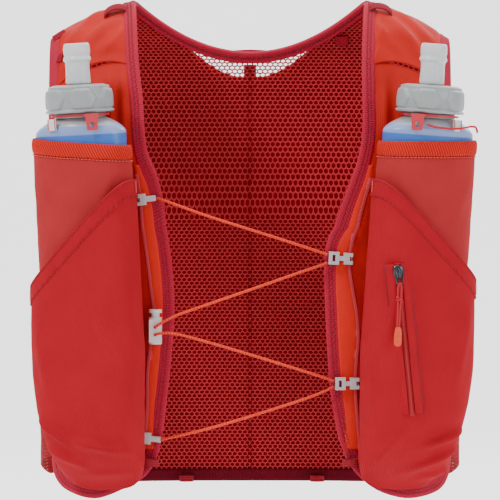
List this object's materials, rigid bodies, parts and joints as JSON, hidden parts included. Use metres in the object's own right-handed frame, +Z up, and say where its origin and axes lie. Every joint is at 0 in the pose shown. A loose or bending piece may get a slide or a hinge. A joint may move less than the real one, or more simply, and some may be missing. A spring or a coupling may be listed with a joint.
{
  "type": "hydration vest",
  "caption": "Slim running vest with mesh back, corded front lacing with hooks and cord lock, stow pockets, a zip pocket and soft flasks that lift out.",
  "frame": {"origin": "middle of the shoulder line, where the vest rests on the wearer", "axes": "+Z up, -Y the way the wearer faces, +X to the wearer's left"},
  "size_m": [0.3495, 0.2358, 0.3919],
  "materials": {
    "spacer_mesh": "knitted honeycomb spacer mesh",
    "shell_cloth": "woven ripstop",
    "webbing": "woven webbing",
    "hem_band": "elastic band",
    "edge_binding": "folded knit binding with zigzag stitch",
    "shoulder_cloth": "light woven polyester",
    "side_mesh": "open mesh",
    "rib_knit": "ribbed elastic knit",
    "stretch_mesh": "stretch mesh",
    "pocket_twill": "stretch twill",
    "rail_cord": "flat braided cord",
    "elastic_cord": "braided elastic cord",
    "hook_plastic": "moulded acetal",
    "lock_plastic": "moulded acetal",
    "spring_wire": "drawn wire",
    "zip_tape": "woven tape",
    "zip_coil": "nylon coil",
    "slider_metal": "gunmetal plating",
    "pull_rubber": "translucent moulded rubber",
    "flask_film": "printed soft film",
    "cap_plastic": "moulded polypropylene",
    "tether_plastic": "moulded elastomer",
    "ribbon": "woven ribbon",
    "valve_silicone": "moulded silicone"
  },
  "bodies": {
    "vest": {"back_mesh": "spacer_mesh", "back_shell": "shell_cloth", "back_strap": "webbing", "hang_loop": "webbing", "back_hem": "hem_band", "neck_binding": "edge_binding", "collar_patch": "edge_binding", "yoke_r": "shoulder_cloth", "yoke_l": "shoulder_cloth", "arm_binding_r": "edge_binding", "arm_binding_l": "edge_binding", "front_panel_r": "shoulder_cloth", "front_panel_l": "shoulder_cloth", "front_binding_r": "edge_binding", "front_binding_l": "edge_binding", "side_panel_r": "side_mesh", "side_panel_l": "side_mesh", "knit_strip_r": "rib_knit", "knit_strip_l": "rib_knit", "rail_r": "rail_cord", "rail_l": "rail_cord", "sleeve_r": "stretch_mesh", "sleeve_l": "stretch_mesh", "sleeve_hem_r": "rib_knit", "sleeve_hem_l": "rib_knit", "stow_pocket_r": "pocket_twill", "stow_pocket_l": "pocket_twill", "shoulder_loop_r": "webbing", "shoulder_loop_l": "webbing", "pole_loop_r": "webbing", "pole_loop_l": "webbing", "rear_loops": "webbing", "lace_top": "elastic_cord", "lace_lock_upper": "elastic_cord", "lace_lock_lower": "elastic_cord", "lace_bottom": "elastic_cord", "lock_body": "lock_plastic", "lock_spring": "spring_wire", "zip_tape": "zip_tape", "zip_coil": "zip_coil"},
    "flask_right": {"flask_r": "flask_film", "neck_r": "cap_plastic", "tether_r": "tether_plastic", "ribbon_tab_r": "ribbon"},
    "flask_left": {"flask_l": "flask_film", "neck_l": "cap_plastic", "tether_l": "tether_plastic", "ribbon_tab_l": "ribbon", "tether_cord": "elastic_cord"},
    "cap_right": {"cap_r": "cap_plastic"},
    "cap_left": {"cap_l": "cap_plastic"},
    "valve_right": {"valve_r": "valve_silicone"},
    "valve_left": {"valve_l": "valve_silicone"},
    "hook_upper_right": {"hook_upper_r": "hook_plastic"},
    "hook_lower_right": {"hook_lower_r": "hook_plastic"},
    "hook_upper_left": {"hook_upper_l": "hook_plastic"},
    "hook_lower_left": {"hook_lower_l": "hook_plastic"},
    "plunger": {"lock_plunger": "lock_plastic"},
    "slider": {"zip_slider": "slider_metal"},
    "zip_puller": {"zip_pull": "pull_rubber"}
  },
  "joints": [
    {"name": "flask_lift_r", "type": "slide", "parent": "vest", "child": "flask_right", "axis": [-0.0523, 0.0262, 0.9983], "range_m": [0, 0.2]},
    {"name": "cap_turn_r", "type": "hinge", "parent": "flask_right", "child": "cap_right", "pos_m": [-0.13336, -0.09983, -0.07336], "axis": [-0.0523, 0.0262, 0.9983], "range_deg": [0, 330]},
    {"name": "valve_pull_r", "type": "slide", "parent": "cap_right", "child": "valve_right", "axis": [-0.0523, 0.0262, 0.9983], "range_m": [0, 0.004]},
    {"name": "flask_lift_l", "type": "slide", "parent": "vest", "child": "flask_left", "axis": [0.0697, 0.0262, 0.9972], "range_m": [0, 0.2]},
    {"name": "cap_turn_l", "type": "hinge", "parent": "flask_left", "child": "cap_left", "pos_m": [0.14102, -0.09834, -0.07358], "axis": [0.0697, 0.0262, 0.9972], "range_deg": [0, 330]},
    {"name": "valve_pull_l", "type": "slide", "parent": "cap_left", "child": "valve_left", "axis": [0.0697, 0.0262, 0.9972], "range_m": [0, 0.004]},
    {"name": "hook_slide_upper_r", "type": "slide", "parent": "vest", "child": "hook_upper_right", "axis": [-0.1198, 0.0221, 0.9925], "range_m": [-0.008, 0.008], "deforming": ["lace_top"]},
    {"name": "hook_slide_lower_r", "type": "slide", "parent": "vest", "child": "hook_lower_right", "axis": [0.0859, -0.0145, 0.9962], "range_m": [-0.004, 0.008], "deforming": ["lace_bottom"]},
    {"name": "hook_slide_upper_l", "type": "slide", "parent": "vest", "child": "hook_upper_left", "axis": [0.0518, 0.0078, 0.9986], "range_m": [-0.006, 0.006], "deforming": ["lace_lock_upper"]},
    {"name": "hook_slide_lower_l", "type": "slide", "parent": "vest", "child": "hook_lower_left", "axis": [0, 0, 1], "range_m": [-0.008, 0.008], "deforming": ["lace_lock_lower"]},
    {"name": "lock_press", "type": "slide", "parent": "vest", "child": "plunger", "axis": [0, 0, -1], "range_m": [0, 0.003], "stiffness_N_per_m": 400, "deforming": ["lock_spring"]},
    {"name": "zip_run", "type": "slide", "parent": "vest", "child": "slider", "axis": [0.0999, 0.06, -0.9932], "range_m": [0, 0.1]},
    {"name": "zip_pull_swing", "type": "hinge", "parent": "slider", "child": "zip_puller", "pos_m": [0.11554, -0.14354, -0.20677], "axis": [-0.9847, -0.1376, -0.1074], "range_deg": [0, 110]}
  ]
}
